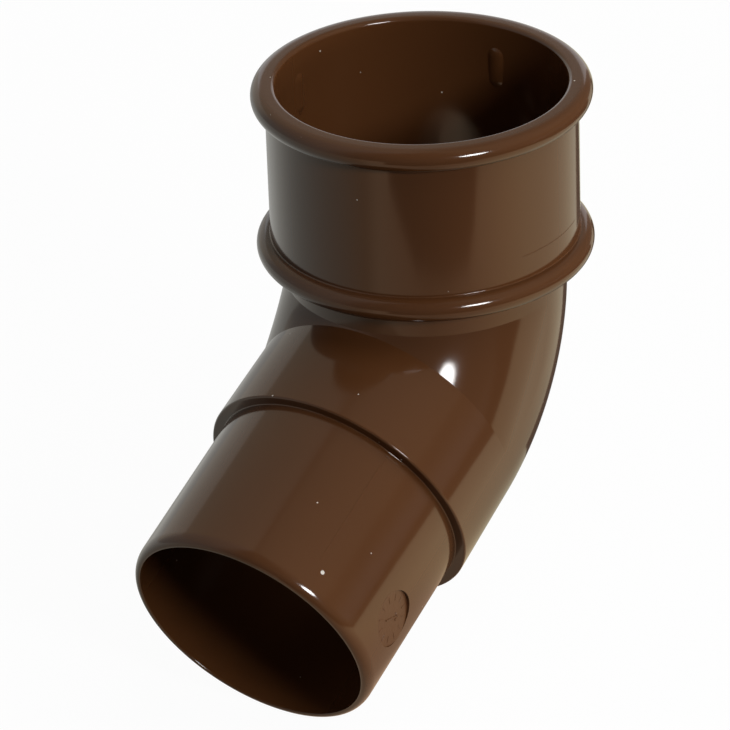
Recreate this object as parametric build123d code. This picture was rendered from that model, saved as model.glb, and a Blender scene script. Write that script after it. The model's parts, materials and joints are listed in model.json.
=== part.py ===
import os
from math import cos, sin, sqrt, radians

from build123d import *

# Downpipe offset bend: one brown moulding, lengths in mm, +Z up out of the socket mouth.
# The origin is on the socket axis at the stop face where the pipe from above ends, and the spigot leaves towards -X.

# Driving sizes
PIPE_R = 34.0
TURN = 67.5
SEAT_GAP = 0.35
SOCKET_DEPTH = 42.0
SEAT_LENGTH = 14.0
MOUTH_FLARE = 0.45
SOCKET_WALL = 3.05
BEAD_TUBE = 2.88
BEAD_NECK = 0.47
LIP_IN = 1.1
RING_FILLET = 0.3
COLLAR_ROOT = 0.8
COLLAR_DROP = 9.3
THROAT_GAP = 0.4
WALL = 2.3
SHOULDER_LENGTH = 23.8
SHOULDER_FLARE = 0.4
SHOULDER_EDGE = 0.5
SPIGOT_LENGTH = 43.7
SPIGOT_R = 31.8
SPIGOT_WALL = 2.2
SPIGOT_ROOT = 0.6
LIP_OUT = 1.4
LIP_BORE = 0.4
RIB_COUNT = 4
RIB_CREST = 0.1
RIB_ROUND = 5.0
RIB_TOP = 33.3
RIB_FOOT = 27.3
RIB_COVER = 0.8
DIAL_R = 6.9
DIAL_FROM_MOUTH = 14.9
DIAL_DEPTH = 0.75

# Sizes that follow from them
SEAT_R = PIPE_R + SEAT_GAP
MOUTH_R = SEAT_R + MOUTH_FLARE
SOCKET_R = SEAT_R + SOCKET_WALL
BEAD_C = SOCKET_R + BEAD_NECK
BEAD_R = BEAD_C + BEAD_TUBE
BORE_R = PIPE_R - WALL
SPIGOT_BORE_R = SPIGOT_R - SPIGOT_WALL
SHOULDER_R = PIPE_R + SHOULDER_FLARE
PIVOT_R = PIPE_R + THROAT_GAP
LOWER_LENGTH = SHOULDER_LENGTH + SPIGOT_LENGTH

# Frames of the bend: the pivot line lies along Y just outside the throat
PIVOT = Axis((-PIVOT_R, 0, -COLLAR_DROP), (0, 1, 0))
ANGLE = radians(TURN)
OUT = Vector(-sin(ANGLE), 0, -cos(ANGLE))
BEND_END = Vector(-PIVOT_R + PIVOT_R * cos(ANGLE), 0, -COLLAR_DROP - PIVOT_R * sin(ANGLE))
MOUTH = BEND_END + OUT * LOWER_LENGTH


def arc(p, q, centre, radius):
    """Arc from p to q about a centre, through the middle of the way between them."""
    mx = (p[0] + q[0]) / 2 - centre[0]
    my = (p[1] + q[1]) / 2 - centre[1]
    size = sqrt(mx * mx + my * my)
    middle = (centre[0] + mx * radius / size, centre[1] + my * radius / size)
    return ThreePointArc((p[0], 0, p[1]), (middle[0], 0, middle[1]), (q[0], 0, q[1]))


def line(p, q):
    """Straight side of a turned section, given as radius and height."""
    return Line((p[0], 0, p[1]), (q[0], 0, q[1]))


def turned(edges):
    """Solid turned from a closed section about the Z axis."""
    return revolve(make_face(Wire(edges)), Axis.Z, 360)


def socket():
    """Socket with rim bead, shoulder ring, seat, flared mouth and the short collar under the ring."""
    top = SOCKET_DEPTH
    mid = top - BEAD_TUBE
    low = top - 2 * BEAD_TUBE
    a = (MOUTH_R, top - LIP_IN)
    b = (MOUTH_R + LIP_IN, top)
    c = (BEAD_C, top)
    d = (BEAD_R, mid)
    e = (BEAD_C, low)
    f = (SOCKET_R, low - BEAD_NECK)
    fx = SOCKET_R + RING_FILLET
    reach = BEAD_TUBE + RING_FILLET
    fz = sqrt(reach ** 2 - (fx - BEAD_C) ** 2)
    g = (SOCKET_R, fz)
    share = BEAD_TUBE / reach
    h = (BEAD_C + (fx - BEAD_C) * share, fz * share)
    i = (BEAD_R, 0)
    j = (BEAD_C, -BEAD_TUBE)
    k = (PIPE_R + COLLAR_ROOT, -BEAD_TUBE)
    m = (PIPE_R, -BEAD_TUBE - COLLAR_ROOT)
    n = (PIPE_R, -COLLAR_DROP)
    p = (BORE_R, -COLLAR_DROP)
    q = (BORE_R, 0)
    r = (SEAT_R, 0)
    s = (SEAT_R, SEAT_LENGTH)
    edges = [
        arc(a, b, (b[0], a[1]), LIP_IN),
        line(b, c),
        arc(c, d, (BEAD_C, mid), BEAD_TUBE),
        arc(d, e, (BEAD_C, mid), BEAD_TUBE),
        arc(e, f, (e[0], f[1]), BEAD_NECK),
        line(f, g),
        arc(g, h, (fx, fz), RING_FILLET),
        arc(h, i, (BEAD_C, 0), BEAD_TUBE),
        arc(i, j, (BEAD_C, 0), BEAD_TUBE),
        line(j, k),
        arc(k, m, (k[0], m[1]), COLLAR_ROOT),
        line(m, n),
        line(n, p),
        line(p, q),
        line(q, r),
        line(r, s),
        line(s, a),
    ]
    return turned(edges)


def half_disc(radius, side):
    """Half of the tube's disc in the collar's lower plane, on the heel side (+1) or the throat side (-1)."""
    z = -COLLAR_DROP
    rim = ThreePointArc((0, -radius, z), (side * radius, 0, z), (0, radius, z))
    return make_face(Wire([rim, Line((0, radius, z), (0, -radius, z))]))


def bend(radius):
    """Solid of the bend: round heel turned about the pivot, straight-sided throat, flat lens between them."""
    heel = revolve(half_disc(radius, 1), PIVOT, TURN)
    near = half_disc(radius, -1)
    far = near.rotate(PIVOT, TURN)
    throat = loft([near, far], ruled=True)
    z = -COLLAR_DROP
    start = Vector(0, -radius, z)
    half = ANGLE / 2
    middle = Vector(-PIVOT_R + PIVOT_R * cos(half), -radius, z - PIVOT_R * sin(half))
    end = Vector(BEND_END.X, -radius, BEND_END.Z)
    lens = make_face(Wire([ThreePointArc(start, middle, end), Line(end, start)]))
    lens = extrude(lens, amount=2 * radius, dir=(0, 1, 0))
    return heel + throat + lens


def lower():
    """Shoulder and spigot, turned about the spigot axis from the bend's end to the mouth."""
    step = SHOULDER_LENGTH
    end = LOWER_LENGTH
    slope = SHOULDER_FLARE / SHOULDER_LENGTH
    a = (PIPE_R, 0)
    b = (SHOULDER_R - slope * SHOULDER_EDGE, step - SHOULDER_EDGE)
    c = (SHOULDER_R - SHOULDER_EDGE, step)
    d = (SPIGOT_R + SPIGOT_ROOT, step)
    e = (SPIGOT_R, step + SPIGOT_ROOT)
    f = (SPIGOT_R, end - LIP_OUT)
    g = (SPIGOT_R - LIP_OUT, end)
    h = (SPIGOT_BORE_R + LIP_BORE, end)
    i = (SPIGOT_BORE_R, end - LIP_BORE)
    j = (SPIGOT_BORE_R, step)
    k = (BORE_R, 0)
    edges = [
        line(a, b),
        arc(b, c, (c[0], b[1]), SHOULDER_EDGE),
        line(c, d),
        arc(d, e, (d[0], e[1]), SPIGOT_ROOT),
        line(e, f),
        arc(f, g, (g[0], f[1]), LIP_OUT),
        line(g, h),
        arc(h, i, (h[0], i[1]), LIP_BORE),
        line(i, j),
        line(j, k),
        line(k, a),
    ]
    place = Plane(origin=BEND_END, x_dir=(0, 1, 0), z_dir=OUT)
    return turned(edges).moved(Location(place))


def ribs():
    """Low rounded guide ribs inside the flared mouth, one in the bend's plane at the heel."""
    axis_r = PIPE_R + RIB_CREST + RIB_ROUND
    height = RIB_TOP - RIB_FOOT
    bar = Pos(axis_r, 0, RIB_FOOT) * Cylinder(RIB_ROUND, height, align=(Align.CENTER, Align.CENTER, Align.MIN))
    bar += Pos(axis_r, 0, RIB_TOP) * Sphere(RIB_ROUND)
    bar += Pos(axis_r, 0, RIB_FOOT) * Sphere(RIB_ROUND)
    inside = Cylinder(SOCKET_R - RIB_COVER, 2 * SOCKET_DEPTH)
    bar = bar & inside
    step = 360 / RIB_COUNT
    return [bar.rotate(Axis.Z, step * n) for n in range(RIB_COUNT)]


def dial():
    """Round flat-bottomed pocket of the date dial, on the spigot's -Y side."""
    centre = MOUTH - OUT * DIAL_FROM_MOUTH
    floor = SPIGOT_R - DIAL_DEPTH
    place = Plane(origin=(centre.X, -floor, centre.Z), x_dir=(1, 0, 0), z_dir=(0, -1, 0))
    return Location(place) * Cylinder(DIAL_R, DIAL_R, align=(Align.CENTER, Align.CENTER, Align.MIN))


body = socket() + (bend(PIPE_R) - bend(BORE_R)) + lower()
for rib in ribs():
    body = body + rib
body = body - dial()

os.makedirs("parts", exist_ok=True)
export_step(body, "parts/offset_bend.step")
print("solids", len(body.solids()), "volume", round(body.volume, 1), "valid", body.is_valid)
print("box", body.bounding_box())
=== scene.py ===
"""Looks of a brown plastic downpipe offset bend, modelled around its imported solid, in metres."""

import json
import logging
import math
from dataclasses import dataclass, field
from enum import Enum
from typing import Callable, Iterable

import bmesh
import bpy
from mathutils import Matrix, Vector


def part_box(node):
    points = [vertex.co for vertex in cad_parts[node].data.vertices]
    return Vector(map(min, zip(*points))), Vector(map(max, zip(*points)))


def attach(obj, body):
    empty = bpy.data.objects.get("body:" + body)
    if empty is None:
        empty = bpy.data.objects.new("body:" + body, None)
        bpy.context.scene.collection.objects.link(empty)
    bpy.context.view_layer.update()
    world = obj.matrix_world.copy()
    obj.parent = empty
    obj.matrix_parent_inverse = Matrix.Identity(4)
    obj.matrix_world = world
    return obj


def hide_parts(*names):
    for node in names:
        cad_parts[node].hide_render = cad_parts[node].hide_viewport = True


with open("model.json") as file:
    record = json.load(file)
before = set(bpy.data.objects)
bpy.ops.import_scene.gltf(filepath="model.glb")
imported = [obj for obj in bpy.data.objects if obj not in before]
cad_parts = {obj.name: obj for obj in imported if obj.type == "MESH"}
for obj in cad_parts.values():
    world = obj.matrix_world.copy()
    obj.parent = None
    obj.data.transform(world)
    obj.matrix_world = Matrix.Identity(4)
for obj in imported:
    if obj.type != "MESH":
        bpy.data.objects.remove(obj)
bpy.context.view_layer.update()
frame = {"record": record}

LOG = logging.getLogger("offset_bend")
NODE = "offset_bend"
BODY = "root"
MM = 0.001
NEAR = 1e-6
MERGE = 2e-6
MARK_SHARP = 40.0
RAMP_START = -90.0
# Sockets of a colour mix: its two colours and its result
MIX_A, MIX_B, MIX_OUT = 6, 7, 2
MOUNTS = {mount["name"]: mount for mount in frame["record"]["mounts"]}


class Side(Enum):
    """Half of the elbow's tube: the long outer side or the tight inner one."""

    HEEL = 1
    THROAT = -1


class Pick(Enum):
    """What a selection in edit mode is made of."""

    VERT = "VERT"
    EDGE = "EDGE"
    FACE = "FACE"


class Use(Enum):
    """What a tool piece does to the piece it is used on."""

    ADD = "UNION"
    TAKE = "DIFFERENCE"


class Zone(Enum):
    """Parts of the surround, in the order of its materials."""

    TABLE = 0
    DARK = 1
    LOW_WALL = 2
    HIGH_WALL = 3
    TOP = 4


@dataclass(frozen=True)
class Arc:
    """Round stretch of a section, in the plane of radius and height.

    Args:
        centre: Radius and height of the centre.
        radius: Radius of the arc.
        start: Angle of its first point, in degrees from the outward direction.
        end: Angle of its last point.
        steps: Number of straight runs that stand for it.
        stretch: How much longer it is in height than in radius.
    """

    centre: tuple[float, float]
    radius: float
    start: float
    end: float
    steps: int
    stretch: float = 1.0

    def points(self) -> list[tuple[float, float]]:
        """Points of the arc from its start to its end."""
        sweep = self.end - self.start
        angles = [math.radians(self.start + sweep * n / self.steps) for n in range(self.steps + 1)]
        middle_r, middle_z = self.centre
        tall = self.radius * self.stretch
        return [(middle_r + self.radius * math.cos(a), middle_z + tall * math.sin(a)) for a in angles]


def straight(first: tuple[float, float], last: tuple[float, float], steps: int) -> list[tuple[float, float]]:
    """Points of a straight stretch of a section.

    Args:
        first: Radius and height where it starts.
        last: Radius and height where it ends.
        steps: Number of runs between them.

    Returns:
        The points, without the first one.
    """
    spread = [n / steps for n in range(1, steps + 1)]
    return [(first[0] + (last[0] - first[0]) * t, first[1] + (last[1] - first[1]) * t) for t in spread]


class Bench:
    """Modelling operators, each used on one piece at a time."""

    @staticmethod
    def clear() -> None:
        """Leaves edit mode and selects nothing."""
        if bpy.context.object and bpy.context.object.mode != "OBJECT":
            bpy.ops.object.mode_set(mode="OBJECT")
        bpy.ops.object.select_all(action="DESELECT")

    @staticmethod
    def take(piece: bpy.types.Object) -> None:
        """Makes a piece the only selected and active one."""
        Bench.clear()
        piece.select_set(True)
        bpy.context.view_layer.objects.active = piece

    @staticmethod
    def named(name: str) -> bpy.types.Object:
        """Names the primitive just added and puts its place into its mesh."""
        piece = bpy.context.object
        piece.name = name
        piece.data.name = name
        bpy.ops.object.transform_apply(location=True, rotation=True, scale=True)
        return piece

    @staticmethod
    def open(piece: bpy.types.Object) -> None:
        """Opens a piece in edit mode with all of it selected."""
        Bench.take(piece)
        bpy.ops.object.mode_set(mode="EDIT")
        bpy.ops.mesh.select_mode(type="VERT")
        bpy.ops.mesh.select_all(action="SELECT")

    @staticmethod
    def close() -> None:
        """Leaves edit mode."""
        bpy.ops.object.mode_set(mode="OBJECT")

    @staticmethod
    def pick(piece: bpy.types.Object, kind: Pick, test: Callable) -> int:
        """Selects the parts of an open piece that pass a test.

        Args:
            piece: The piece in edit mode.
            kind: Points, edges or faces.
            test: Says of one of them whether it is taken.

        Returns:
            How many were taken.
        """
        bpy.ops.mesh.select_mode(type=kind.value)
        bpy.ops.mesh.select_all(action="DESELECT")
        mesh = bmesh.from_edit_mesh(piece.data)
        parts = {Pick.VERT: mesh.verts, Pick.EDGE: mesh.edges, Pick.FACE: mesh.faces}[kind]
        taken = [part for part in parts if test(part)]
        for part in taken:
            part.select_set(True)
        mesh.select_flush_mode()
        bmesh.update_edit_mesh(piece.data)
        return len(taken)

    @staticmethod
    def join(name: str, pieces: Iterable[bpy.types.Object]) -> bpy.types.Object:
        """Joins pieces into the first of them.

        Args:
            name: Name of the result.
            pieces: The pieces to join.

        Returns:
            The joined piece.
        """
        pieces = list(pieces)
        Bench.take(pieces[0])
        for piece in pieces[1:]:
            piece.select_set(True)
        bpy.ops.object.join()
        pieces[0].name = name
        pieces[0].data.name = name
        return pieces[0]

    @staticmethod
    def cut(piece: bpy.types.Object, tool: bpy.types.Object, use: Use) -> None:
        """Adds a tool piece to another or takes it away, and removes the tool.

        Args:
            piece: The piece that is kept.
            tool: The piece that is used up.
            use: Whether the tool is added or taken away.
        """
        Bench.take(piece)
        modifier = piece.modifiers.new(tool.name, "BOOLEAN")
        modifier.operation = use.value
        modifier.solver = "EXACT"
        modifier.object = tool
        bpy.ops.object.modifier_apply(modifier=modifier.name)
        bpy.data.objects.remove(tool)

    @staticmethod
    def smooth(piece: bpy.types.Object, angle: float) -> None:
        """Shades a piece smooth apart from its sharp corners, with large faces kept flat.

        Args:
            piece: The piece to shade.
            angle: Corner angle, in degrees, from which an edge stays sharp.
        """
        Bench.take(piece)
        bpy.ops.object.shade_smooth_by_angle(angle=math.radians(angle))
        modifier = piece.modifiers.new("even_shading", "WEIGHTED_NORMAL")
        modifier.weight = 50
        modifier.keep_sharp = True
        bpy.ops.object.modifier_apply(modifier=modifier.name)


@dataclass
class Bend:
    """Axes of the fitting and the sizes that its parts share."""

    pipe_r: float = 34.0 * MM
    wall: float = 2.3 * MM
    collar_drop: float = 9.3 * MM
    throat_gap: float = 0.4 * MM
    shoulder_length: float = 23.8 * MM
    spigot_length: float = 43.7 * MM
    columns: int = 320
    out: Vector = field(default_factory=lambda: Vector(MOUNTS["spigot"]["axis"]).normalized())

    def __post_init__(self) -> None:
        """Works out the turn and the places that follow from it."""
        self.bore_r = self.pipe_r - self.wall
        self.turn = math.acos(-self.out.z)
        self.pivot_r = self.pipe_r + self.throat_gap
        self.pivot = Vector((-self.pivot_r, 0, -self.collar_drop))
        self.heel = Vector((math.cos(self.turn), 0, -math.sin(self.turn)))
        self.end = self.pivot + self.pivot_r * self.heel
        self.mouth = self.end + self.out * (self.shoulder_length + self.spigot_length)

    def spigot_point(self, from_mouth: float, radius: float, angle: float) -> Vector:
        """Point about the spigot's axis.

        Args:
            from_mouth: Distance from the mouth, back along the axis.
            radius: Distance from the axis.
            angle: Angle from the throat side, in degrees, negative towards -Y.

        Returns:
            The point in the frame.
        """
        turned = math.radians(angle)
        across = -self.heel * math.cos(turned) + Vector((0, 1, 0)) * math.sin(turned)
        return self.mouth - self.out * from_mouth + across * radius


class Turning:
    """Skin turned from a section drawn point by point."""

    def __init__(self, name: str, origin: Vector, outward: Vector, upward: Vector) -> None:
        """Sets the turning's axes.

        Args:
            name: Name of the piece.
            origin: Point of the axis at height 0.
            outward: Direction of the radius where the section is drawn.
            upward: Direction of the axis.
        """
        self.name = name
        self.origin = origin
        self.outward = outward
        self.upward = upward

    def place(self, point: tuple[float, float]) -> Vector:
        """Place of a section point, given as radius and height."""
        return self.origin + self.outward * point[0] + self.upward * point[1]

    def build(self, section: list[tuple[float, float]], columns: int) -> bpy.types.Object:
        """Draws the section by extruding a point, then spins it.

        Args:
            section: Radius and height of each point.
            columns: Steps round the axis.

        Returns:
            The turned skin.
        """
        places = [self.place(point) for point in section]
        Bench.clear()
        bpy.ops.mesh.primitive_plane_add(size=MM, location=places[0])
        piece = Bench.named(self.name)
        Bench.open(piece)
        bpy.ops.mesh.merge(type="CENTER")
        for before, after in zip(places, places[1:]):
            bpy.ops.mesh.extrude_vertices_move(TRANSFORM_OT_translate={"value": after - before})
        bpy.ops.mesh.select_all(action="SELECT")
        bpy.ops.mesh.spin(steps=columns, angle=2 * math.pi, center=self.origin, axis=self.upward)
        bpy.ops.mesh.select_all(action="SELECT")
        bpy.ops.mesh.remove_doubles(threshold=MERGE)
        Bench.close()
        return piece


@dataclass
class Socket:
    """Socket with rim bead, shoulder ring, seat, flared mouth and collar."""

    bend: Bend
    depth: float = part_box(NODE)[1].z
    seat_r: float = MOUNTS["socket"]["dims"]["r_mm"] * MM
    seat_length: float = MOUNTS["socket"]["dims"]["length_mm"] * MM
    mouth_flare: float = 0.45 * MM
    wall: float = 3.05 * MM
    bead_tube: float = 2.88 * MM
    bead_neck: float = 0.47 * MM
    neck_fillet: float = 0.12 * MM
    lip_in: float = 1.1 * MM
    ring_fillet: float = 0.3 * MM
    collar_root: float = 0.2 * MM
    floor_edge: float = 0.25 * MM

    def section(self) -> list[tuple[float, float]]:
        """Section from the collar's bore over the rim to the collar's outside."""
        bend = self.bend
        mouth_r = self.seat_r + self.mouth_flare
        outer_r = self.seat_r + self.wall
        bead_c = outer_r + self.bead_neck
        tube = self.bead_tube
        high = self.depth
        low = high - 2 * tube
        fillet_x = outer_r + self.ring_fillet
        reach = tube + self.ring_fillet
        fillet_z = math.sqrt(reach**2 - (fillet_x - bead_c) ** 2)
        lean = math.degrees(math.atan2(fillet_z, fillet_x - bead_c))
        edge = self.floor_edge
        bottom = -bend.collar_drop
        points = [(bend.bore_r, bottom)]
        points += straight(points[-1], (bend.bore_r, -edge), steps=4)
        points += Arc((bend.bore_r + edge, -edge), edge, 180, 90, steps=4).points()[1:]
        points += straight(points[-1], (self.seat_r - edge, 0), steps=2)
        points += Arc((self.seat_r - edge, edge), edge, -90, 0, steps=4).points()[1:]
        points += straight(points[-1], (self.seat_r, self.seat_length), steps=4)
        lip = self.lip_in
        points += straight(points[-1], (mouth_r, high - lip), steps=8)
        points += Arc((mouth_r + lip, high - lip), lip, 180, 90, steps=10).points()[1:]
        points += straight(points[-1], (bead_c, high), steps=3)
        points += Arc((bead_c, high - tube), tube, 90, -90, steps=25).points()[1:]
        neck = self.neck_fillet
        points += straight(points[-1], (outer_r + neck, low), steps=2)
        points += Arc((outer_r + neck, low - neck), neck, 90, 180, steps=5).points()[1:]
        points += straight(points[-1], (outer_r, fillet_z), steps=7)
        points += Arc((fillet_x, fillet_z), self.ring_fillet, 180, 180 + lean, steps=10).points()[1:]
        points += Arc((bead_c, 0), tube, lean, -90, steps=22).points()[1:]
        root = self.collar_root
        points += straight(points[-1], (bend.pipe_r + root, -tube), steps=3)
        points += Arc((bend.pipe_r + root, -tube - root), root, 90, 180, steps=8).points()[1:]
        points += straight(points[-1], (bend.pipe_r, bottom), steps=5)
        return points

    def build(self) -> bpy.types.Object:
        """Turned skin of the socket."""
        turning = Turning("socket_skin", Vector(), Vector((1, 0, 0)), Vector((0, 0, 1)))
        return turning.build(self.section(), self.bend.columns)


@dataclass
class Spigot:
    """Shoulder, step and spigot on the turned axis."""

    bend: Bend
    radius: float = MOUNTS["spigot"]["dims"]["r_mm"] * MM
    wall: float = 2.2 * MM
    flare: float = 0.4 * MM
    edge: float = 0.5 * MM
    root: float = 0.24 * MM
    lip_out: float = 1.7 * MM
    lip_long: float = 3.2 * MM
    lip_bore: float = 0.4 * MM

    def section(self) -> list[tuple[float, float]]:
        """Section from the bend's end over the mouth back to the bend's end, with height along the spigot."""
        bend = self.bend
        step = bend.shoulder_length
        end = step + bend.spigot_length
        bore = self.radius - self.wall
        high = bend.pipe_r + self.flare
        points = [(bend.pipe_r, 0)]
        points += straight(points[-1], (high, step - self.edge), steps=8)
        points += Arc((high - self.edge, step - self.edge), self.edge, 0, 90, steps=8).points()[1:]
        points += straight(points[-1], (self.radius + self.root, step), steps=2)
        points += Arc((self.radius + self.root, step + self.root), self.root, -90, -180, steps=8).points()[1:]
        points += straight(points[-1], (self.radius, end - self.lip_long), steps=14)
        lip_centre = (self.radius - self.lip_out, end - self.lip_long)
        lip = Arc(lip_centre, self.lip_out, 0, 90, steps=16, stretch=self.lip_long / self.lip_out)
        points += lip.points()[1:]
        inner = self.lip_bore
        points += straight(points[-1], (bore + inner, end), steps=1)
        points += Arc((bore + inner, end - inner), inner, 90, 180, steps=6).points()[1:]
        points += straight(points[-1], (bore, step), steps=6)
        points += straight(points[-1], (bend.bore_r, 0), steps=4)
        return points

    def build(self) -> bpy.types.Object:
        """Turned skin of the shoulder and spigot."""
        turning = Turning("spigot_skin", self.bend.end, self.bend.heel, self.bend.out)
        return turning.build(self.section(), self.bend.columns)


@dataclass
class Elbow:
    """Skin of the elbow: heel turned about the pivot, throat straight from plane to plane."""

    bend: Bend
    radius: float
    name: str
    steps: int = 48
    throat_sag: float = 0.2

    def half_ring(self, side: Side) -> bpy.types.Object:
        """Half of the tube's ring in the collar's lower plane, open in edit mode.

        Args:
            side: Which half is kept.

        Returns:
            The half ring.
        """
        bend = self.bend
        Bench.clear()
        bpy.ops.mesh.primitive_circle_add(
            vertices=bend.columns, radius=self.radius, fill_type="NOTHING", location=(0, 0, -bend.collar_drop)
        )
        piece = Bench.named(f"{self.name}_{side.name.lower()}")
        Bench.open(piece)
        Bench.pick(piece, Pick.VERT, lambda vert: vert.co.x * side.value < -NEAR)
        bpy.ops.mesh.delete(type="VERT")
        bpy.ops.mesh.select_all(action="SELECT")
        return piece

    def build(self) -> list[bpy.types.Object]:
        """Heel and throat skins, still open between them at both sides."""
        bend = self.bend
        heel = self.half_ring(Side.HEEL)
        bpy.ops.mesh.spin(steps=self.steps, angle=-bend.turn, center=bend.pivot, axis=(0, 1, 0))
        Bench.close()
        throat = self.half_ring(Side.THROAT)
        bpy.ops.mesh.spin(steps=self.steps, angle=-bend.turn, center=bend.pivot, axis=(0, 1, 0))
        self.straighten(throat)
        Bench.close()
        return [heel, throat]

    def straighten(self, throat: bpy.types.Object) -> None:
        """Draws the throat's arcs towards their chords, so that its two ends are creased.

        Args:
            throat: The spun throat skin, open in edit mode.
        """
        bend = self.bend
        half = bend.turn / 2
        mesh = bmesh.from_edit_mesh(throat.data)
        for vert in mesh.verts:
            arm = vert.co - bend.pivot
            turned = math.atan2(-arm.z, arm.x)
            chord = math.cos(half) / math.cos(turned - half)
            share = chord + (1 - chord) * self.throat_sag
            vert.co = bend.pivot + Vector((arm.x * share, arm.y, arm.z * share))
        bmesh.update_edit_mesh(throat.data)


@dataclass
class Ribs:
    """Low rounded guide ribs inside the socket's mouth."""

    bend: Bend
    count: int = 4
    crest: float = 0.1 * MM
    round_r: float = 5.0 * MM
    top: float = 33.3 * MM
    foot: float = 27.3 * MM
    back_r: float = 36.4 * MM
    rings: int = 48

    def build(self) -> bpy.types.Object:
        """Ribs as one tool piece, each a rounded bar with a flat back inside the wall."""
        axis_r = self.bend.pipe_r + self.crest + self.round_r
        Bench.clear()
        bpy.ops.mesh.primitive_uv_sphere_add(
            segments=2 * self.rings,
            ring_count=self.rings,
            radius=self.round_r,
            location=(axis_r, 0, self.top),
        )
        bar = Bench.named("rib")
        Bench.open(bar)
        Bench.pick(bar, Pick.VERT, lambda vert: vert.co.z < self.top - NEAR)
        bpy.ops.transform.translate(value=(0, 0, self.foot - self.top))
        bpy.ops.mesh.select_all(action="SELECT")
        bpy.ops.mesh.bisect(plane_co=(self.back_r, 0, 0), plane_no=(1, 0, 0), use_fill=True, clear_outer=True)
        Bench.close()
        bars = [bar]
        for number in range(1, self.count):
            copy = bar.copy()
            copy.data = bar.data.copy()
            copy.data.transform(Matrix.Rotation(2 * math.pi * number / self.count, 4, "Z"))
            bpy.context.collection.objects.link(copy)
            bars.append(copy)
        return Bench.join("ribs_tool", bars)


@dataclass
class Dial:
    """Shallow round date dial near the spigot's mouth, with a grained face, plain ticks and a pointer."""

    bend: Bend
    spigot: Spigot
    radius: float = 6.9 * MM
    from_mouth: float = 14.9 * MM
    depth: float = 0.75 * MM
    ticks: int = 12
    tick_in: float = 4.3 * MM
    tick_out: float = 6.0 * MM
    tick_wide: float = 0.34 * MM
    tick_relief: float = 0.07 * MM
    sunk: float = 0.05 * MM
    face_play: float = 0.03 * MM
    face_proud: float = 0.03 * MM
    face_edge: float = 0.012 * MM
    pointer_long: float = 2.7 * MM
    pointer_wide: float = 0.45 * MM
    pointer_relief: float = 0.16 * MM
    barb: float = 1.5 * MM
    pointer_turn: float = 143.0
    barb_turn: float = 145.0
    mark_bevel: float = 0.7
    facets: int = 160

    def __post_init__(self) -> None:
        """Works out the dial's centre on its floor."""
        bend = self.bend
        axis_point = bend.mouth - bend.out * self.from_mouth
        self.centre = Vector((axis_point.x, self.depth - self.spigot.radius, axis_point.z))

    def cutter(self) -> bpy.types.Object:
        """Round tool piece that makes the pocket."""
        Bench.clear()
        bpy.ops.mesh.primitive_cylinder_add(
            vertices=self.facets,
            radius=self.radius,
            depth=self.radius,
            location=self.centre - Vector((0, self.radius / 2, 0)),
            rotation=(math.radians(90), 0, 0),
        )
        return Bench.named("dial_tool")

    def face(self) -> bpy.types.Object:
        """Thin round face on the pocket's floor, with a rounded rim."""
        Bench.clear()
        bpy.ops.mesh.primitive_cylinder_add(
            vertices=self.facets,
            radius=self.radius - self.face_play,
            depth=self.face_proud + self.sunk,
            location=self.centre - Vector((0, (self.face_proud - self.sunk) / 2, 0)),
            rotation=(math.radians(90), 0, 0),
        )
        piece = Bench.named("dial_face")
        Bench.open(piece)
        front = self.centre.y - self.face_proud
        Bench.pick(piece, Pick.EDGE, lambda edge: all(abs(vert.co.y - front) < NEAR for vert in edge.verts))
        bpy.ops.mesh.bevel(offset=self.face_edge, segments=2, affect="EDGES")
        Bench.close()
        Bench.smooth(piece, MARK_SHARP)
        return piece

    def bar(
        self,
        name: str,
        length: float,
        width: float,
        relief: float,
        middle: float,
        turn: float,
        hook: float = 0.0,
    ) -> bpy.types.Object:
        """Low bevelled bar on the dial's face.

        Args:
            name: Name of the bar.
            length: Its length along its own direction.
            width: Its width.
            relief: Its height above the face.
            middle: Distance of its middle from the point it is turned about.
            turn: Direction in the dial's plane, in degrees from the mouth's direction.
            hook: Distance along the pointer of the point that it is turned about.

        Returns:
            The bar.
        """
        Bench.clear()
        size = (length, width, relief + self.sunk)
        bpy.ops.mesh.primitive_cube_add(size=1.0, location=(middle, 0, 0), scale=size)
        piece = Bench.named(name)
        Bench.open(piece)
        Bench.pick(piece, Pick.EDGE, lambda edge: all(vert.co.z > 0 for vert in edge.verts))
        bpy.ops.mesh.bevel(offset=relief * self.mark_bevel, segments=3, affect="EDGES")
        Bench.close()
        upright = Matrix((self.bend.out, (0, -1, 0), self.bend.out.cross(Vector((0, -1, 0))))).transposed()
        lay = Matrix(((1, 0, 0), (0, 0, 1), (0, -1, 0)))
        flat = (upright @ lay).to_4x4()
        lift = Matrix.Translation(self.centre - Vector((0, self.face_proud + (relief - self.sunk) / 2, 0)))
        along = Matrix()
        if hook:
            pointed = Matrix.Rotation(math.radians(self.pointer_turn), 4, "Z")
            along = pointed @ Matrix.Translation((hook, 0, 0))
        piece.data.transform(lift @ flat @ along @ Matrix.Rotation(math.radians(turn), 4, "Z"))
        return piece

    def marks(self) -> bpy.types.Object:
        """Ticks round the dial and the pointer in its middle, as one piece."""
        length = self.tick_out - self.tick_in
        middle = (self.tick_out + self.tick_in) / 2
        turns = [360 * (n + 0.5) / self.ticks for n in range(self.ticks)]
        bars = [self.bar("tick", length, self.tick_wide, self.tick_relief, middle, turn) for turn in turns]
        wide, relief = self.pointer_wide, self.pointer_relief
        bars.append(self.bar("pointer", 2 * self.pointer_long, wide, relief, 0, self.pointer_turn))
        for turn in (self.barb_turn, -self.barb_turn):
            barb = self.bar("barb", self.barb, wide, relief, self.barb / 2, turn, hook=self.pointer_long)
            bars.append(barb)
        return Bench.join("dial_marks", bars)


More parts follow.
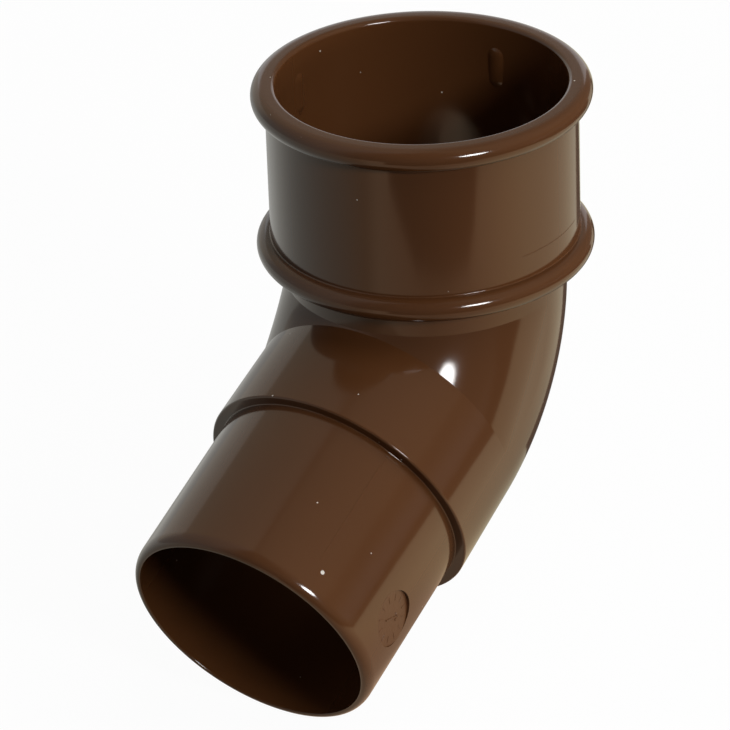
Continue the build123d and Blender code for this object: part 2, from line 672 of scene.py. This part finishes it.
@dataclass(frozen=True)
class Seam:
    """Fine raised line that the mould leaves along a straight wall.

    Args:
        name: Name of the piece.
        first: Distance from the mouth where it starts.
        last: Distance from the mouth where it ends.
        angle: Angle from the throat side, in degrees.
        radius: Radius of the wall there.
        thick: Radius of its rounded section.
        proud: Height above the wall.
        rings: Rings of its rounded ends.
    """

    name: str
    first: float
    last: float
    angle: float
    radius: float
    thick: float = 0.7 * MM
    proud: float = 0.07 * MM
    rings: int = 12

    def build(self, bend: Bend) -> bpy.types.Object:
        """Rounded bar with tapering ends, sunk into the wall.

        Args:
            bend: The axes of the fitting.

        Returns:
            The line as a piece.
        """
        length = self.first - self.last
        Bench.clear()
        bpy.ops.mesh.primitive_uv_sphere_add(
            segments=2 * self.rings, ring_count=self.rings, radius=self.thick, location=(0, 0, 0)
        )
        piece = Bench.named(self.name)
        Bench.open(piece)
        Bench.pick(piece, Pick.VERT, lambda vert: vert.co.z > NEAR)
        bpy.ops.transform.translate(value=(0, 0, length - 2 * self.thick))
        Bench.close()
        start = bend.spigot_point(self.first - self.thick, self.radius + self.proud - self.thick, self.angle)
        turn = bend.out.to_track_quat("Z", "Y").to_matrix().to_4x4()
        piece.data.transform(Matrix.Translation(start) @ turn)
        return piece


@dataclass(frozen=True)
class FlowLine:
    """Faint level line round a part of the socket's wall.

    Args:
        name: Name of the piece.
        radius: Radius of the wall.
        height: Height of its middle.
        azimuth: Direction of its middle, in degrees, 0 on the -Y side and 90 on the +X side.
        reach: How far it goes to each side of its middle, in degrees.
        thick: Radius of its rounded section.
        proud: Height above the wall.
        sides: Sides of its section.
        steps: Steps along it.
    """

    name: str
    radius: float
    height: float
    azimuth: float
    reach: float
    thick: float = 0.3 * MM
    proud: float = 0.04 * MM
    sides: int = 20
    steps: int = 40

    def build(self) -> bpy.types.Object:
        """Round section spun about the socket's axis and closed at both ends."""
        middle = math.radians(self.azimuth)
        facing = Vector((math.sin(middle), -math.cos(middle), 0))
        axis = Vector((0, 0, 1))
        centre = Vector((0, 0, self.height))
        Bench.clear()
        bpy.ops.mesh.primitive_circle_add(vertices=self.sides, radius=self.thick, fill_type="NGON")
        piece = Bench.named(self.name)
        start = Matrix.Rotation(math.radians(-self.reach), 4, axis)
        section = Matrix.Translation(facing * (self.radius + self.proud - self.thick))
        section = section @ axis.cross(facing).to_track_quat("Z", "Y").to_matrix().to_4x4()
        piece.data.transform(Matrix.Translation(centre) @ start @ section)
        Bench.open(piece)
        sweep = math.radians(-2 * self.reach)
        bpy.ops.mesh.spin(steps=self.steps, angle=sweep, center=centre, axis=axis)
        bpy.ops.mesh.select_all(action="SELECT")
        bpy.ops.mesh.remove_doubles(threshold=NEAR)
        bpy.ops.mesh.normals_make_consistent(inside=False)
        Bench.close()
        Bench.smooth(piece, MARK_SHARP)
        return piece


@dataclass
class Moulding:
    """The whole fitting as one closed moulding."""

    bend: Bend
    socket: Socket
    spigot: Spigot
    dial: Dial
    crease: float = 0.18 * MM
    sharp: float = 30.0

    def in_crease(self, edge: bmesh.types.BMEdge) -> bool:
        """True for an edge of the two planes where the throat's straight sides end."""
        bend = self.bend
        starts = all(abs(vert.co.z + bend.collar_drop) < MERGE and vert.co.x < -MERGE for vert in edge.verts)
        ends = all(
            abs((vert.co - bend.end).dot(bend.out)) < MERGE and (vert.co - bend.end).dot(bend.heel) < -MERGE
            for vert in edge.verts
        )
        return starts or ends

    def build(self) -> bpy.types.Object:
        """Joins the skins, closes the elbow's sides, rounds the creases and adds ribs and dial.

        Returns:
            The finished moulding.
        """
        bend = self.bend
        skins = [self.socket.build(), self.spigot.build()]
        skins += Elbow(bend, bend.pipe_r, "elbow_outside").build()
        skins += Elbow(bend, bend.bore_r, "elbow_inside").build()
        piece = Bench.join("bend_moulding", skins)
        Bench.open(piece)
        bpy.ops.mesh.remove_doubles(threshold=MERGE)
        bpy.ops.mesh.select_all(action="SELECT")
        bpy.ops.mesh.fill_holes(sides=0)
        bpy.ops.mesh.select_all(action="SELECT")
        bpy.ops.mesh.normals_make_consistent(inside=False)
        taken = Bench.pick(piece, Pick.EDGE, self.in_crease)
        LOG.info("crease edges %d", taken)
        bpy.ops.mesh.bevel(offset=self.crease, segments=3, affect="EDGES", clamp_overlap=True)
        Bench.close()
        Bench.cut(piece, Ribs(bend).build(), Use.ADD)
        Bench.cut(piece, self.dial.cutter(), Use.TAKE)
        Bench.smooth(piece, self.sharp)
        return piece


@dataclass(frozen=True)
class BrownPlastic:
    """Glossy brown PVC-U, with a faint flow pattern, a little dust and one painted highlight dot."""

    name: str = "brown_plastic_gloss"
    deep: tuple[float, float, float, float] = (0.070, 0.0258, 0.0088, 1)
    warm: tuple[float, float, float, float] = (0.086, 0.0322, 0.0108, 1)
    # Colour of the dust specks, also used for the painted highlight dot
    dust_and_highlight: tuple[float, float, float, float] = (0.62, 0.58, 0.52, 1)
    flow_scale: float = 22.0
    skin_scale: float = 420.0
    dust_scale: float = 150.0
    dust_size: float = 0.032
    # Painted highlight: a pale dot at a fixed place on the spigot stands in for a small glint of the key lamp
    highlight_at: tuple[float, float, float] = (-85.23 * MM, -22.38 * MM, -43.13 * MM)
    highlight_r: float = 0.5 * MM
    rough: tuple[float, float] = (0.09, 0.13)
    bump: float = 0.02
    bump_depth: float = 0.1 * MM
    flow_detail: float = 3.0
    skin_detail: float = 2.0
    ior: float = 1.5

    def build(self) -> bpy.types.Material:
        """Node material on the piece's own coordinates."""
        material = bpy.data.materials.new(self.name)
        material.use_nodes = True
        nodes, links = material.node_tree.nodes, material.node_tree.links
        shader = nodes["Principled BSDF"]
        shader.inputs["IOR"].default_value = self.ior
        place = nodes.new("ShaderNodeTexCoord")
        flow = nodes.new("ShaderNodeTexNoise")
        flow.inputs["Scale"].default_value = self.flow_scale
        flow.inputs["Detail"].default_value = self.flow_detail
        links.new(place.outputs["Object"], flow.inputs["Vector"])
        shade = nodes.new("ShaderNodeMix")
        shade.data_type = "RGBA"
        shade.inputs[MIX_A].default_value = self.deep
        shade.inputs[MIX_B].default_value = self.warm
        links.new(flow.outputs["Fac"], shade.inputs["Factor"])
        cells = nodes.new("ShaderNodeTexVoronoi")
        cells.inputs["Scale"].default_value = self.dust_scale
        links.new(place.outputs["Object"], cells.inputs["Vector"])
        speck = nodes.new("ShaderNodeMath")
        speck.operation = "LESS_THAN"
        speck.inputs[1].default_value = self.dust_size
        links.new(cells.outputs["Distance"], speck.inputs[0])
        cover = nodes.new("ShaderNodeMix")
        cover.data_type = "RGBA"
        cover.inputs[MIX_B].default_value = self.dust_and_highlight
        # Painted highlight: the pale dot round one fixed point, mixed in with the dust specks
        away = nodes.new("ShaderNodeVectorMath")
        away.operation = "DISTANCE"
        away.inputs[1].default_value = self.highlight_at
        links.new(place.outputs["Object"], away.inputs[0])
        highlight_mask = nodes.new("ShaderNodeMath")
        highlight_mask.operation = "LESS_THAN"
        highlight_mask.inputs[1].default_value = self.highlight_r
        links.new(away.outputs["Value"], highlight_mask.inputs[0])
        # Dust specks and the painted highlight dot together
        dust_and_highlight_mask = nodes.new("ShaderNodeMath")
        dust_and_highlight_mask.operation = "MAXIMUM"
        links.new(speck.outputs[0], dust_and_highlight_mask.inputs[0])
        links.new(highlight_mask.outputs[0], dust_and_highlight_mask.inputs[1])
        links.new(dust_and_highlight_mask.outputs[0], cover.inputs["Factor"])
        links.new(shade.outputs[MIX_OUT], cover.inputs[MIX_A])
        links.new(cover.outputs[MIX_OUT], shader.inputs["Base Color"])
        skin = nodes.new("ShaderNodeTexNoise")
        skin.inputs["Scale"].default_value = self.skin_scale
        skin.inputs["Detail"].default_value = self.skin_detail
        links.new(place.outputs["Object"], skin.inputs["Vector"])
        gloss = nodes.new("ShaderNodeMapRange")
        gloss.inputs["To Min"].default_value, gloss.inputs["To Max"].default_value = self.rough
        links.new(flow.outputs["Fac"], gloss.inputs["Value"])
        links.new(gloss.outputs["Result"], shader.inputs["Roughness"])
        bump = nodes.new("ShaderNodeBump")
        bump.inputs["Strength"].default_value = self.bump
        bump.inputs["Distance"].default_value = self.bump_depth
        links.new(skin.outputs["Fac"], bump.inputs["Height"])
        links.new(bump.outputs["Normal"], shader.inputs["Normal"])
        return material


@dataclass(frozen=True)
class Lamp:
    """Soft round lamp that looks at a point of the fitting.

    Args:
        name: Name of the lamp.
        azimuth: Direction it stands in, in degrees, 0 before the -Y side and 90 before the +X side.
        elevation: Height above the horizon, in degrees.
        distance: Distance from the fitting.
        width: Width of its face.
        height: Height of its face.
        power: Its power in watts.
        in_gloss: Whether gloss shows its face.
    """

    name: str
    azimuth: float
    elevation: float
    distance: float
    width: float
    height: float
    power: float
    in_gloss: bool = True

    def build(self, aim: Vector) -> bpy.types.Object:
        """Adds the lamp.

        Args:
            aim: The point it looks at.

        Returns:
            The lamp.
        """
        a, e = math.radians(self.azimuth), math.radians(self.elevation)
        back = Vector((math.sin(a) * math.cos(e), -math.cos(a) * math.cos(e), math.sin(e)))
        Bench.clear()
        bpy.ops.object.light_add(type="AREA", location=aim + back * self.distance)
        lamp = bpy.context.object
        lamp.name = self.name
        lamp.rotation_euler = back.to_track_quat("Z", "Y").to_euler()
        lamp.data.shape = "ELLIPSE"
        lamp.data.size = self.width
        lamp.data.size_y = self.height
        lamp.data.energy = self.power
        lamp.visible_glossy = self.in_gloss
        return lamp


@dataclass(frozen=True)
class Tone:
    """Brightness of the surroundings in one direction.

    Args:
        azimuth: The direction, in degrees, as for a lamp.
        colour: The light that comes from there.
    """

    azimuth: float
    colour: tuple[float, float, float]


@dataclass
class Surround:
    """Glowing table top and walls round the fitting, seen in its gloss only, which paint reflections of a
    room.

    The table is pale and brighter on the lamp's side, ends early in front, with dark behind it,
    and has a dark strip on the right.
    The walls are dim, with a pale band low behind the fitting and an opening beside that.
    """

    radius: float = 2.0
    height: float = 2.4
    window: float = 1.0
    sectors: int = 144
    edge: tuple[tuple[float, float], ...] = (
        (-82.5, 0.294),
        (-75.0, 0.268),
        (-65.0, 0.240),
        (-45.0, 0.232),
        (-30.0, 0.238),
        (-25.0, 0.260),
        (-20.0, 0.310),
        (0.0, 0.370),
        (20.0, 0.370),
        (32.5, 0.310),
        (77.5, 0.310),
    )
    strip_from: tuple[float, float] = (0.060, -0.0346)
    strip_length: float = 1.9
    strip_width: float = 0.065
    strip_turn: float = 3.7
    strip_heights: tuple[float, float] = (0.1 * MM, 0.5 * MM)
    opening: tuple[float, float] = (100.0, 140.0)
    full: float = 1.3
    shade_at: tuple[float, float] = (0.040, 0.035)
    shade_reach: tuple[float, float] = (0.080, 0.125)
    shade_share: float = 0.6
    dark: tuple[float, float, float] = (0.09, 0.08, 0.07)
    top: tuple[float, float, float] = (0.14, 0.135, 0.13)
    table: tuple[Tone, ...] = (
        Tone(-180, (0.76, 0.75, 0.69)),
        Tone(-150, (0.62, 0.61, 0.55)),
        Tone(-115, (0.48, 0.43, 0.35)),
        Tone(-100, (0.48, 0.36, 0.25)),
        Tone(-90, (0.74, 0.54, 0.37)),
        Tone(-75, (0.68, 0.46, 0.31)),
        Tone(-55, (0.54, 0.35, 0.23)),
        Tone(-30, (0.78, 0.52, 0.34)),
        Tone(0, (1.10, 0.82, 0.50)),
        Tone(15, (1.12, 0.90, 0.57)),
        Tone(50, (0.92, 0.79, 0.55)),
        Tone(70, (0.88, 0.80, 0.58)),
        Tone(80, (0.80, 0.74, 0.57)),
        Tone(91, (0.72, 0.67, 0.50)),
        Tone(105, (0.80, 0.76, 0.56)),
        Tone(125, (0.54, 0.54, 0.48)),
        Tone(140, (0.50, 0.50, 0.48)),
        Tone(165, (0.75, 0.75, 0.70)),
    )
    low: tuple[Tone, ...] = (
        Tone(-180, (0.46, 0.45, 0.42)),
        Tone(-150, (0.40, 0.40, 0.38)),
        Tone(-125, (0.38, 0.38, 0.36)),
        Tone(-104, (0.14, 0.13, 0.12)),
        Tone(-90, (0.11, 0.10, 0.09)),
        Tone(-40, (0.11, 0.10, 0.09)),
        Tone(0, (0.18, 0.16, 0.13)),
        Tone(90, (0.18, 0.16, 0.13)),
        Tone(140, (0.75, 0.72, 0.66)),
        Tone(165, (0.72, 0.66, 0.56)),
    )
    high: tuple[Tone, ...] = (
        Tone(-180, (0.42, 0.40, 0.36)),
        Tone(-125, (0.38, 0.38, 0.36)),
        Tone(-104, (0.14, 0.13, 0.12)),
        Tone(-90, (0.11, 0.10, 0.09)),
        Tone(-40, (0.11, 0.10, 0.09)),
        Tone(0, (0.30, 0.27, 0.21)),
        Tone(45, (0.30, 0.27, 0.21)),
        Tone(90, (0.20, 0.18, 0.15)),
        Tone(140, (0.44, 0.40, 0.33)),
        Tone(165, (0.48, 0.43, 0.34)),
    )

    @staticmethod
    def azimuth(place: Vector) -> float:
        """Direction of a place from the fitting, in degrees."""
        return math.degrees(math.atan2(place.x, -place.y))

    def glow(self, name: str, tones: tuple[Tone, ...], level: float | None = None) -> bpy.types.Material:
        """Glow that changes with the direction.

        Args:
            name: Name of the material.
            tones: The light in each direction, one of them at -90 degrees, where the ramp closes.
            level: Height of the table top, for the table alone, which is dimmer where the fitting shades it.

        Returns:
            The material.
        """
        material = bpy.data.materials.new(name)
        material.use_nodes = True
        nodes, links = material.node_tree.nodes, material.node_tree.links
        nodes.remove(nodes["Principled BSDF"])
        place = nodes.new("ShaderNodeTexCoord")
        round_about = nodes.new("ShaderNodeTexGradient")
        round_about.gradient_type = "RADIAL"
        links.new(place.outputs["Object"], round_about.inputs["Vector"])
        ramp = nodes.new("ShaderNodeValToRGB")
        links.new(round_about.outputs["Fac"], ramp.inputs["Fac"])
        stops = ramp.color_ramp.elements
        for tone in tones:
            colour = tuple(part / self.full for part in tone.colour) + (1.0,)
            if tone.azimuth == RAMP_START:
                stops[0].color = colour
                stops[-1].color = colour
            else:
                stops.new((tone.azimuth - RAMP_START) / 360 % 1).color = colour
        emission = nodes.new("ShaderNodeEmission")
        emission.inputs["Strength"].default_value = self.full
        if level is not None:
            away = nodes.new("ShaderNodeVectorMath")
            away.operation = "DISTANCE"
            away.inputs[1].default_value = (*self.shade_at, level)
            links.new(place.outputs["Object"], away.inputs[0])
            share = nodes.new("ShaderNodeMapRange")
            share.inputs["From Min"].default_value, share.inputs["From Max"].default_value = self.shade_reach
            share.inputs["To Min"].default_value = self.full * self.shade_share
            share.inputs["To Max"].default_value = self.full
            links.new(away.outputs["Value"], share.inputs["Value"])
            links.new(share.outputs["Result"], emission.inputs["Strength"])
        links.new(ramp.outputs["Color"], emission.inputs["Color"])
        links.new(emission.outputs["Emission"], nodes["Material Output"].inputs["Surface"])
        return material

    def even(self, name: str, colour: tuple[float, float, float]) -> bpy.types.Material:
        """Glow of one colour.

        Args:
            name: Name of the material.
            colour: Its light.

        Returns:
            The material.
        """
        return self.glow(name, (Tone(RAMP_START, colour),))

    def reach(self, azimuth: float) -> float:
        """How far the table reaches in a direction before dark shows behind it."""
        for (first, near), (last, far) in zip(self.edge, self.edge[1:]):
            if first <= azimuth <= last:
                return near + (far - near) * (azimuth - first) / (last - first)
        return self.edge[0][1]

    def behind_edge(self, place: Vector) -> bool:
        """True for a place beyond the table's edge."""
        azimuth = self.azimuth(place)
        in_front = self.edge[0][0] < azimuth < self.edge[-1][0]
        return in_front and math.hypot(place.x, place.y) > self.reach(azimuth)

    def place_ring(self, piece: bpy.types.Object, height: float, radius: float | None = None) -> None:
        """Moves the selected ring of points.

        Args:
            piece: The surround, open in edit mode.
            height: The height that the ring goes to.
            radius: Its radius, or nothing for the table's edge.
        """
        mesh = bmesh.from_edit_mesh(piece.data)
        for vert in mesh.verts:
            if vert.select:
                flat = Vector((vert.co.x, vert.co.y, 0)).normalized()
                vert.co = flat * (radius or self.reach(self.azimuth(flat))) + Vector((0, 0, height))
        bmesh.update_edit_mesh(piece.data)

    def strip(self, level: float) -> bpy.types.Object:
        """Straight dark strip that lies on the table's right side.

        Args:
            level: Height of the table top.

        Returns:
            The strip.
        """
        low, high = self.strip_heights
        turn = Matrix.Rotation(math.radians(self.strip_turn), 4, "Z")
        corner = Vector((*self.strip_from, level + (low + high) / 2))
        Bench.clear()
        bpy.ops.mesh.primitive_cube_add(
            size=1.0,
            location=corner + turn @ Vector((self.strip_length / 2, self.strip_width / 2, 0)),
            rotation=turn.to_euler(),
            scale=(self.strip_length, self.strip_width, high - low),
        )
        return Bench.named("strip")

    def build(self, level: float) -> bpy.types.Object:
        """Round table top, strip, wall and ceiling as one piece of the stage.

        Args:
            level: Height of the table top.

        Returns:
            The surround.
        """
        rings = [(self.radius, 0), (self.radius, self.window), (self.radius, self.height - level)]
        Bench.clear()
        bpy.ops.mesh.primitive_circle_add(
            vertices=self.sectors, radius=self.radius, fill_type="TRIFAN", location=(0, 0, level)
        )
        piece = Bench.named("surround")
        Bench.open(piece)
        Bench.pick(piece, Pick.EDGE, lambda edge: edge.is_boundary)
        self.place_ring(piece, level)
        for radius, rise in rings:
            Bench.pick(piece, Pick.EDGE, lambda edge: edge.is_boundary)
            bpy.ops.mesh.extrude_region_move()
            self.place_ring(piece, level + rise, radius)
        Bench.pick(piece, Pick.EDGE, lambda edge: edge.is_boundary)
        bpy.ops.mesh.edge_face_add()
        first, last = self.opening
        Bench.pick(
            piece,
            Pick.FACE,
            lambda face: level + NEAR < face.calc_center_median().z < level + self.window
            and first < self.azimuth(face.calc_center_median()) < last,
        )
        bpy.ops.mesh.delete(type="FACE")
        Bench.close()
        return self.dress(Bench.join("surround", [piece, self.strip(level)]), level)

    def zone(self, place: Vector, level: float) -> Zone:
        """Part of the surround that a face belongs to.

        Args:
            place: The face's middle.
            level: Height of the table top.

        Returns:
            The part.
        """
        if abs(place.z - level) < NEAR:
            return Zone.DARK if self.behind_edge(place) else Zone.TABLE
        if place.z < level + self.strip_heights[1] + NEAR:
            return Zone.DARK
        if abs(place.z - self.height) < NEAR:
            return Zone.TOP
        return Zone.LOW_WALL if place.z < level + self.window else Zone.HIGH_WALL

    def dress(self, piece: bpy.types.Object, level: float) -> bpy.types.Object:
        """Gives each face its glow and keeps the piece out of everything but gloss.

        Args:
            piece: The bare surround.
            level: Height of the table top.

        Returns:
            The same piece.
        """
        materials = (
            self.glow("table_glow", self.table, level),
            self.even("edge_dark", self.dark),
            self.glow("low_wall_glow", self.low),
            self.glow("high_wall_glow", self.high),
            self.even("top_dim", self.top),
        )
        for material in materials:
            piece.data.materials.append(material)
        for face in piece.data.polygons:
            face.material_index = self.zone(face.center, level).value
        piece.visible_camera = False
        piece.visible_diffuse = False
        piece.visible_shadow = False
        return piece


@dataclass
class Studio:
    """Floor, background, lamps and camera."""

    eye: Vector = field(default_factory=lambda: Vector((-887.93, -550.91, 534.24)) * MM)
    right: Vector = field(default_factory=lambda: Vector((0.52537, -0.85031, -0.03103)))
    up: Vector = field(default_factory=lambda: Vector((0.42141, 0.22834, 0.87765)))
    sensor: float = 36.0
    picture: float = 730.0
    focal: float = 4864.34
    floor_size: float = 8.0
    floor_white: float = 0.96
    floor_grey: tuple[float, float, float, float] = (0.9, 0.9, 0.9, 1)
    floor_rough: float = 0.9
    far: float = 50.0
    ambient: float = 0.05
    surround: Surround = field(default_factory=Surround)
    lamps: tuple[Lamp, ...] = (
        Lamp("key", -23.5, 28.5, 1.3, 0.38, 0.26, 8.6),
        Lamp("overhead", 30, 62, 1.6, 1.8, 1.8, 15, in_gloss=False),
        Lamp("right_fill", 28, 4, 1.5, 1.2, 0.3, 11.5, in_gloss=False),
        Lamp("left_fill", -150, -5, 1.5, 1.2, 1.2, 4.5, in_gloss=False),
        Lamp("back_fill", 130, 8, 1.5, 1.2, 1.2, 9, in_gloss=False),
    )

    def camera(self) -> bpy.types.Object:
        """Camera at the photograph's viewing angle."""
        data = bpy.data.cameras.new("camera")
        data.sensor_width = self.sensor
        data.lens = self.sensor * self.focal / self.picture
        data.clip_end = self.far
        camera = bpy.data.objects.new("camera", data)
        bpy.context.collection.objects.link(camera)
        turn = Matrix((self.right, self.up, self.right.cross(self.up))).transposed()
        camera.matrix_world = Matrix.Translation(self.eye) @ turn.to_4x4()
        bpy.context.scene.camera = camera
        return camera

    @staticmethod
    def seen(nodes: bpy.types.Nodes, links: bpy.types.NodeLinks) -> bpy.types.NodeSocket:
        """Tells the rays that show a background from those that only carry its light.

        Args:
            nodes: Nodes of a world or material.
            links: Links of the same.

        Returns:
            A socket that is 1 for camera, glossy and transmission rays.
        """
        rays = nodes.new("ShaderNodeLightPath")
        total = rays.outputs["Is Camera Ray"]
        for kind in ("Is Glossy Ray", "Is Transmission Ray"):
            larger = nodes.new("ShaderNodeMath")
            larger.operation = "MAXIMUM"
            links.new(total, larger.inputs[0])
            links.new(rays.outputs[kind], larger.inputs[1])
            total = larger.outputs[0]
        return total

    def world(self) -> None:
        """White background, with a dimmer ambient light on the fitting."""
        world = bpy.data.worlds.new("studio_world")
        bpy.context.scene.world = world
        world.use_nodes = True
        nodes, links = world.node_tree.nodes, world.node_tree.links
        light = nodes["Background"]
        light.inputs["Color"].default_value = (1, 1, 1, 1)
        light.inputs["Strength"].default_value = self.ambient
        white = nodes.new("ShaderNodeBackground")
        white.inputs["Color"].default_value = (1, 1, 1, 1)
        mix = nodes.new("ShaderNodeMixShader")
        links.new(self.seen(nodes, links), mix.inputs["Fac"])
        links.new(light.outputs["Background"], mix.inputs[1])
        links.new(white.outputs["Background"], mix.inputs[2])
        links.new(mix.outputs["Shader"], nodes["World Output"].inputs["Surface"])

    def floor(self) -> bpy.types.Object:
        """Pale floor under the fitting's lowest point."""
        Bench.clear()
        bpy.ops.mesh.primitive_plane_add(size=self.floor_size, location=(0, 0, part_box(NODE)[0].z))
        floor = Bench.named("floor")
        material = bpy.data.materials.new("pale_floor")
        material.use_nodes = True
        nodes, links = material.node_tree.nodes, material.node_tree.links
        shader = nodes["Principled BSDF"]
        shader.inputs["Base Color"].default_value = self.floor_grey
        shader.inputs["Roughness"].default_value = self.floor_rough
        glow = nodes.new("ShaderNodeEmission")
        glow.inputs["Color"].default_value = (1, 1, 1, 1)
        share = nodes.new("ShaderNodeMath")
        share.operation = "MULTIPLY"
        share.inputs[1].default_value = self.floor_white
        links.new(self.seen(nodes, links), share.inputs[0])
        mix = nodes.new("ShaderNodeMixShader")
        links.new(share.outputs[0], mix.inputs["Fac"])
        links.new(shader.outputs["BSDF"], mix.inputs[1])
        links.new(glow.outputs["Emission"], mix.inputs[2])
        links.new(mix.outputs["Shader"], nodes["Material Output"].inputs["Surface"])
        floor.data.materials.append(material)
        floor.visible_diffuse = False
        return floor

    def build(self) -> None:
        """Sets up the stage."""
        self.camera()
        self.world()
        self.floor()
        low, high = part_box(NODE)
        self.surround.build(low.z + MM)
        aim = (low + high) / 2
        for lamp in self.lamps:
            lamp.build(aim)
        bpy.context.scene.view_settings.view_transform = "Standard"


def seat(piece: bpy.types.Object, material: bpy.types.Material) -> bpy.types.Object:
    """Dresses a piece and lets it ride on the fitting.

    Args:
        piece: The finished piece.
        material: Its finish.

    Returns:
        The same piece.
    """
    piece.data.materials.clear()
    piece.data.materials.append(material)
    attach(piece, BODY)
    LOG.info("%s: %d faces", piece.name, len(piece.data.polygons))
    return piece


def main() -> None:
    """Builds the fitting, its fine marks and the stage."""
    logging.basicConfig(level=logging.INFO)
    bend = Bend()
    spigot = Spigot(bend)
    dial = Dial(bend, spigot)
    plastic = BrownPlastic().build()
    socket = Socket(bend)
    moulding = seat(Moulding(bend, socket, spigot, dial).build(), plastic)
    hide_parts(NODE)
    grain = BrownPlastic(name="brown_plastic_grain", skin_scale=1400.0, rough=(0.34, 0.42), bump=0.5).build()
    seat(dial.face(), grain)
    seat(dial.marks(), grain)
    line = Seam("spigot_line", first=42.6 * MM, last=9.6 * MM, angle=-41, radius=spigot.radius)
    seat(line.build(bend), plastic)
    wall_r = socket.seat_r + socket.wall
    faint = FlowLine("socket_line", radius=wall_r, height=9.0 * MM, azimuth=-3.5, reach=17.5)
    seat(faint.build(), plastic)
    Studio().build()


if __name__ == "__main__":
    main()
